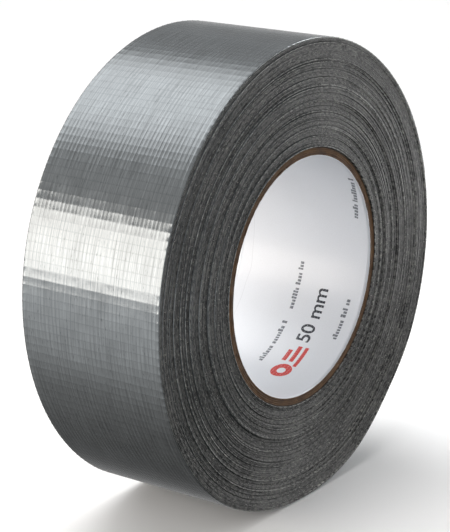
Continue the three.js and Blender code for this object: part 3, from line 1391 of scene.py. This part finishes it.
@dataclass
class HelicalWall:
    """A tube wound from one strip on a helix, whose two edges meet in a seam."""

    radius: float
    thickness: float
    length: float
    seam_angle: float
    seam_gap: float
    pitch: float = 138 * MM
    around: int = 180
    along: int = 40
    roughness: float = 0.0
    seed: int = 1

    def points(self) -> Geometry:
        """The inner and outer walls with their end and seam faces, as one closed shell."""
        chance = np.random.default_rng(self.seed)
        share = np.linspace(0, 1, self.around + 1)
        rows = np.linspace(-0.5, 0.5, self.along + 1)
        gap = self.seam_gap / self.radius
        walls = []
        ragged = self.roughness * chance.normal(size=(2, self.around + 1))
        for radius in (self.radius, self.radius + self.thickness):
            places = rows[:, None] * self.length + np.zeros_like(share)[None, :]
            places[0] += ragged[0]
            places[-1] += ragged[1]
            seam = self.seam_angle + FULL_TURN * places / self.pitch
            angle = seam + gap / 2 + share[None, :] * (FULL_TURN - gap)
            walls.append(np.stack([radius * np.cos(angle), -places, radius * np.sin(angle)], axis=-1))
        points = np.concatenate([wall.reshape(-1, 3) for wall in walls])
        return points, self.faces()

    def faces(self) -> list[tuple[int, ...]]:
        """Point numbers of every face, pointing out of the board."""
        columns, size = self.around + 1, (self.around + 1) * (self.along + 1)
        faces = []
        for row in range(self.along):
            for column in range(self.around):
                a = row * columns + column
                b, c, d = a + 1, a + 1 + columns, a + columns
                faces.append((a, b, c, d))
                faces.append((d + size, c + size, b + size, a + size))
        for column in range(self.around):
            for low, turn in ((column, 1), (self.along * columns + column, -1)):
                faces.append((low, low + size, low + 1 + size, low + 1)[::turn])
        for row in range(self.along):
            for low, turn in ((row * columns, -1), (row * columns + self.around, 1)):
                faces.append((low, low + size, low + columns + size, low + columns)[::turn])
        return faces


@dataclass
class BoardCore:
    """Four plies of kraft board, each a helical strip with its own butt seam."""

    plies: int = 4
    seam_gap: float = 0.3 * MM
    first_seam: float = math.radians(41)
    stagger: float = math.radians(97)
    glue_line: float = 0.03 * MM
    roughness: float = 0.05 * MM

    def build(self, finishes: Finishes) -> None:
        """Makes every ply in the place of its solid."""
        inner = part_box("core_liner")[1].x + self.glue_line
        for number in range(1, self.plies + 1):
            low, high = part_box(f"core_ply_{number}")
            outer = high.x
            wall = HelicalWall(
                radius=inner,
                thickness=outer - inner,
                length=high.y - low.y,
                seam_angle=self.first_seam + (number - 1) * self.stagger,
                seam_gap=self.seam_gap,
                roughness=self.roughness,
                seed=number,
            )
            piece = mesh_piece(f"kraft_ply_{number}", *wall.points(), finishes.board)
            settle(piece, "roll", "core_board", f"core_ply_{number}")
            inner = outer + self.glue_line


@dataclass
class BoreLiner:
    """The coated paper liner, wound on the same helix with a hairline seam."""

    radius: float = 38.1 * MM
    seam_gap: float = 0.06 * MM
    seam_angle: float = math.radians(150)

    def build(self, finishes: Finishes) -> None:
        """Makes the liner."""
        low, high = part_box("core_liner")
        wall = HelicalWall(
            radius=self.radius,
            thickness=high.x - self.radius,
            length=high.y - low.y,
            seam_angle=self.seam_angle,
            seam_gap=self.seam_gap,
            around=240,
            roughness=0.02 * MM,
            seed=11,
        )
        piece = mesh_piece("bore_liner", *wall.points(), finishes.paper)
        settle(piece, "roll", "liner_paper", "core_liner")


@dataclass
class LinerPrint:
    """Generic printing on the liner: a tape-roll pictogram, the width, and lines of small type.

    The small type is rows of plain blocks, so that it reads as nothing. Reading runs along the
    angle, and the tops of the marks point to the back of the roll.
    """

    radius: float = 38.1 * MM
    ink_depth: float = 0.02 * MM
    cut: float = 0.6 * MM
    text: str = "50 mm"

    def wrap(
        self, name: str, flat: bmesh.types.BMesh, angle: float, across: float, tilt: float, ink: Material
    ) -> Object:
        """Rolls flat artwork on to the inside of the liner.

        Args:
            name: The new object's name.
            flat: Artwork in X and Y, in metres, centred on the origin. It is used up.
            angle: The angle of its centre.
            across: The place of its centre along the roll's axis.
            tilt: Its turn on the paper, in radians.
            ink: Its material.

        Returns:
            The print as a thin film just inside the paper.
        """
        bmesh.ops.triangulate(flat, faces=flat.faces[:])
        low = min(vertex.co.x for vertex in flat.verts)
        high = max(vertex.co.x for vertex in flat.verts)
        for step in range(1, int((high - low) / self.cut) + 1):
            everything = flat.verts[:] + flat.edges[:] + flat.faces[:]
            cut = (low + step * self.cut, 0, 0)
            bmesh.ops.bisect_plane(flat, geom=everything, plane_co=cut, plane_no=(1, 0, 0))
        bmesh.ops.solidify(flat, geom=flat.faces[:], thickness=self.ink_depth / 2)
        bmesh.ops.recalc_face_normals(flat, faces=flat.faces[:])
        for vertex in flat.verts:
            x = vertex.co.x * math.cos(tilt) - vertex.co.y * math.sin(tilt)
            y = vertex.co.x * math.sin(tilt) + vertex.co.y * math.cos(tilt)
            place = angle + x / self.radius
            reach = self.radius - self.ink_depth + vertex.co.z
            vertex.co = (reach * math.cos(place), across + y, reach * math.sin(place))
        bmesh.ops.triangulate(flat, faces=flat.faces[:])
        bmesh.ops.recalc_face_normals(flat, faces=flat.faces[:])
        mesh = bpy.data.meshes.new(name)
        flat.to_mesh(mesh)
        flat.free()
        mesh.materials.append(ink)
        piece = bpy.data.objects.new(name, mesh)
        bpy.context.scene.collection.objects.link(piece)
        return piece

    def pictogram(self) -> bmesh.types.BMesh:
        """A tape roll seen from its side, with its end pulled out to the right, and two bars."""
        flat = bmesh.new()
        outer, inner, tail, middle = 3.6 * MM, 1.5 * MM, 8 * MM, -4.2 * MM
        corners = 40
        turn = [FULL_TURN * i / corners for i in range(corners)]
        rings = [
            [flat.verts.new((r * math.cos(a) + middle, r * math.sin(a), 0)) for a in turn]
            for r in (outer, inner)
        ]
        for i in range(corners):
            j = (i + 1) % corners
            flat.faces.new((rings[0][i], rings[0][j], rings[1][j], rings[1][i]))
        low, high = -3.6 * MM, -2.2 * MM
        tail_corners = [(middle + 3.2 * MM, low), (middle + 3.2 * MM, high), (tail, high), (tail, low)]
        flat.faces.new([flat.verts.new((x, y, 0)) for x, y in tail_corners][::-1])
        bars = [(0.9 * MM, -1.1 * MM, tail, 0.5 * MM), (0.9 * MM, 1.6 * MM, tail - 2 * MM, 3.2 * MM)]
        for left, bottom, right, top in bars:
            corners_of_bar = [(left, bottom), (right, bottom), (right, top), (left, top)]
            flat.faces.new([flat.verts.new((x, y, 0)) for x, y in corners_of_bar])
        return flat

    def lettering(self, height: float) -> bmesh.types.BMesh:
        """The width of the tape in plain type, centred, with numerals of the height given."""
        curve = bpy.data.curves.new("width_mark", "FONT")
        curve.body = self.text
        curve.align_x, curve.align_y = "CENTER", "CENTER"
        curve.size = height / 0.7
        curve.offset = 0.02 * height
        thing = bpy.data.objects.new("width_mark", curve)
        bpy.context.scene.collection.objects.link(thing)
        graph = bpy.context.evaluated_depsgraph_get()
        mesh = bpy.data.meshes.new_from_object(thing.evaluated_get(graph), depsgraph=graph)
        bpy.data.objects.remove(thing)
        flat = bmesh.new()
        flat.from_mesh(mesh)
        bmesh.ops.remove_doubles(flat, verts=flat.verts[:], dist=0.001 * MM)
        return flat

    def small_type(self, length: float, height: float, seed: int) -> bmesh.types.BMesh:
        """A line of small type as plain blocks of letter size, in words.

        Args:
            length: The line's length.
            height: The height of its tall blocks.
            seed: Picks the words.

        Returns:
            The line, centred on the origin.
        """
        chance = np.random.default_rng(seed)
        flat = bmesh.new()
        start = -length / 2
        left = 0
        while start < length / 2 - 0.4 * height:
            if left == 0:
                left = int(chance.integers(3, 9))
                start += 0.45 * height
                continue
            width = height * chance.uniform(0.3, 0.52)
            top = height * (1.0 if chance.random() < 0.3 else 0.68) - height / 2
            low = -height / 2
            corners = [(start, low), (start + width, low), (start + width, top), (start, top)]
            flat.faces.new([flat.verts.new((x, y, 0)) for x, y in corners])
            start += width + 0.16 * height
            left -= 1
        return flat

    def build(self, finishes: Finishes) -> None:
        """Prints every mark."""
        marks = [
            ("roll_pictogram", self.pictogram(), -68.0, -9.6, 0.0, finishes.red_ink),
            ("width_mark", self.lettering(5.0 * MM), -38.2, -9.3, 0.0, finishes.black_ink),
            ("type_line_1", self.small_type(16 * MM, 1.9 * MM, 3), -37.0, -19.7, 0.0, finishes.grey_ink),
            ("type_line_2", self.small_type(19 * MM, 1.9 * MM, 5), -57.5, 0.6, 0.0, finishes.grey_ink),
            ("type_line_3", self.small_type(18 * MM, 1.9 * MM, 8), -24.5, 0.6, 0.0, finishes.grey_ink),
            ("type_line_4", self.small_type(19 * MM, 1.9 * MM, 9), 28.5, -21.8, -0.17, finishes.grey_ink),
        ]
        for name, flat, degrees, across, tilt, ink in marks:
            piece = self.wrap(name, flat, math.radians(degrees), across * MM, tilt, ink)
            settle(piece, "roll", "liner_paper")


# ---- Studio -----------------------------------------------------------------------------


class Seen(Enum):
    """What a light shows in: gloss alone, matt shading alone, or both."""

    GLOSS = (False, True)
    MATT = (True, False)
    BOTH = (True, True)


@dataclass(frozen=True)
class Panel:
    """A soft light: a rectangle that faces the roll."""

    name: str
    azimuth: float
    elevation: float
    distance: float
    width: float
    height: float
    power: float
    seen: Seen
    tint: str = "#ffffff"


@dataclass
class Studio:
    """A pale floor, a white room, soft panels, and a camera that looks down at the roll."""

    camera_azimuth: float = math.radians(-54.21)
    camera_elevation: float = math.radians(16.53)
    camera_distance: float = 0.6316
    camera_aim: tuple[float, float, float] = (-0.0027, 0.0034, -0.0006)
    overhead_power: float = 1.7
    room_above: float = 0.27
    room_below: float = 0.76
    glows: tuple[tuple[float, float, float, float], ...] = (
        (math.radians(176), math.radians(45), math.radians(29), 2.2),
        (math.radians(-126), math.radians(-14), math.radians(33), 0.3),
        (math.radians(178), math.radians(80), math.radians(20), 1.1),
    )
    lens: float = 134.95
    sensor: float = 36.0
    panels: tuple[Panel, ...] = (
        Panel(
            "side_panel", math.radians(-125), math.radians(10), 0.8, 0.9, 0.38, 5.0, Seen.BOTH, "#fff6ec"
        ),
        Panel("right_panel", math.radians(82), math.radians(36), 0.8, 0.5, 0.24, 2.2, Seen.GLOSS),
        Panel("raking_panel", math.radians(-78), math.radians(35), 0.9, 0.35, 0.5, 0.95, Seen.MATT),
        Panel("front_panel", math.radians(66), math.radians(-6), 0.33, 0.22, 0.08, 0.78, Seen.BOTH),
    )

    @staticmethod
    def away(azimuth: float, elevation: float) -> Vector:
        """The direction from the roll to a place round it; azimuth 0 is towards the front."""
        flat = math.cos(elevation)
        return Vector((math.sin(azimuth) * flat, -math.cos(azimuth) * flat, math.sin(elevation)))

    def camera(self) -> None:
        """Adds the camera and makes it the scene's."""
        data = bpy.data.cameras.new("camera")
        data.lens = self.lens
        data.sensor_width = self.sensor
        data.clip_start, data.clip_end = 0.01, 20.0
        camera = bpy.data.objects.new("camera", data)
        bpy.context.scene.collection.objects.link(camera)
        back = self.away(self.camera_azimuth, self.camera_elevation)
        camera.location = Vector(self.camera_aim) + back * self.camera_distance
        camera.rotation_euler = (-back).to_track_quat("-Z", "Y").to_euler()
        bpy.context.scene.camera = camera

    def lights(self) -> None:
        """Adds the panels."""
        for panel in self.panels:
            data = bpy.data.lights.new(panel.name, "AREA")
            data.shape = "RECTANGLE"
            data.size, data.size_y = panel.width, panel.height
            data.energy = panel.power
            data.color = linear(panel.tint)[:3]
            light = bpy.data.objects.new(panel.name, data)
            bpy.context.scene.collection.objects.link(light)
            light.visible_diffuse, light.visible_glossy = panel.seen.value
            back = self.away(panel.azimuth, panel.elevation)
            light.location = back * panel.distance
            light.rotation_euler = (-back).to_track_quat("-Z", "Y").to_euler()

    def overhead(self) -> None:
        """Adds the soft light from above, which keeps the floor even as far as it goes."""
        data = bpy.data.lights.new("overhead", "SUN")
        data.energy, data.angle = self.overhead_power, math.radians(50)
        light = bpy.data.objects.new("overhead", data)
        bpy.context.scene.collection.objects.link(light)
        light.visible_glossy = False
        back = self.away(math.radians(150), math.radians(72))
        light.rotation_euler = (-back).to_track_quat("-Z", "Y").to_euler()

    def room(self) -> None:
        """Makes the room: pale above, dim below, soft glows, and white to the camera."""
        world = bpy.data.worlds.new("pale room")
        bpy.context.scene.world = world
        world.use_nodes = True
        tree = world.node_tree
        background = next(node for node in tree.nodes if node.type == "BACKGROUND")
        background.inputs["Color"].default_value = linear("#ffffff")
        way = add(tree, VECTOR, coordinates(tree, Coordinates.SPACE), operation="NORMALIZE")
        rise = add(tree, SEPARATE, way).outputs["Z"]
        below = add(tree, RANGE, rise, -0.85, -0.2, 0.0, self.room_below)
        room = add(tree, RANGE, rise, -0.1, 0.15, below, self.room_above)
        for azimuth, elevation, reach, power in self.glows:
            towards = tuple(self.away(azimuth, elevation))
            near = add(tree, VECTOR, way, towards, operation="DOT_PRODUCT").outputs["Value"]
            low, high = math.cos(reach), math.cos(reach / 4)
            glow = add(tree, RANGE, near, low, high, 0.0, power, interpolation_type="SMOOTHSTEP")
            room = maths(tree, "ADD", room, glow)
        seen = add(tree, "ShaderNodeLightPath").outputs["Is Camera Ray"]
        strength = add(tree, "ShaderNodeMix", {0: seen, 2: room, 3: 1.0}, data_type="FLOAT")
        tree.links.new(strength.outputs[0], background.inputs["Strength"])

    def floor(self) -> None:
        """Lays a pale floor under the lowest point of the roll."""
        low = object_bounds()[0].z
        half = 4.0
        corners = np.array(
            [(-half, -half, low), (half, -half, low), (half, half, low), (-half, half, low)]
        )
        material, tree, shader = new_material("matt white floor")
        space = coordinates(tree, Coordinates.SPACE)
        haze = noise(tree, space, 3.0, 1.0)
        tone = add(tree, RANGE, haze, 0.3, 0.7, 0.98, 1.0)
        toned = scaled(tree, linear("#fbfbfb")[:3], tone)
        fill(tree, shader, {"Base Color": toned, "Roughness": 0.9})
        floor = mesh_piece("floor", corners, [(0, 1, 2, 3)], material)
        floor.visible_glossy = False
        floor.visible_diffuse = False
        floor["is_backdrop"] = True


# ---- Everything in order ----------------------------------------------------------------


def main() -> None:
    """Builds the roll and its studio."""
    logging.basicConfig(level=logging.INFO, format="%(name)s %(message)s")
    bpy.context.scene.view_settings.view_transform = "Standard"
    studio = Studio()
    studio.camera()
    strip = Strip()
    finishes = Finishes()
    slump = Slump(strip).build()
    WoundTurns(strip, slump).build(finishes)
    LastTurn(strip, slump).build(finishes)
    ThreadEnds(strip, slump).build(finishes)
    BoardCore().build(finishes)
    BoreLiner().build(finishes)
    LinerPrint().build(finishes)
    studio.lights()
    studio.overhead()
    studio.room()
    studio.floor()


if __name__ == "__main__":
    main()
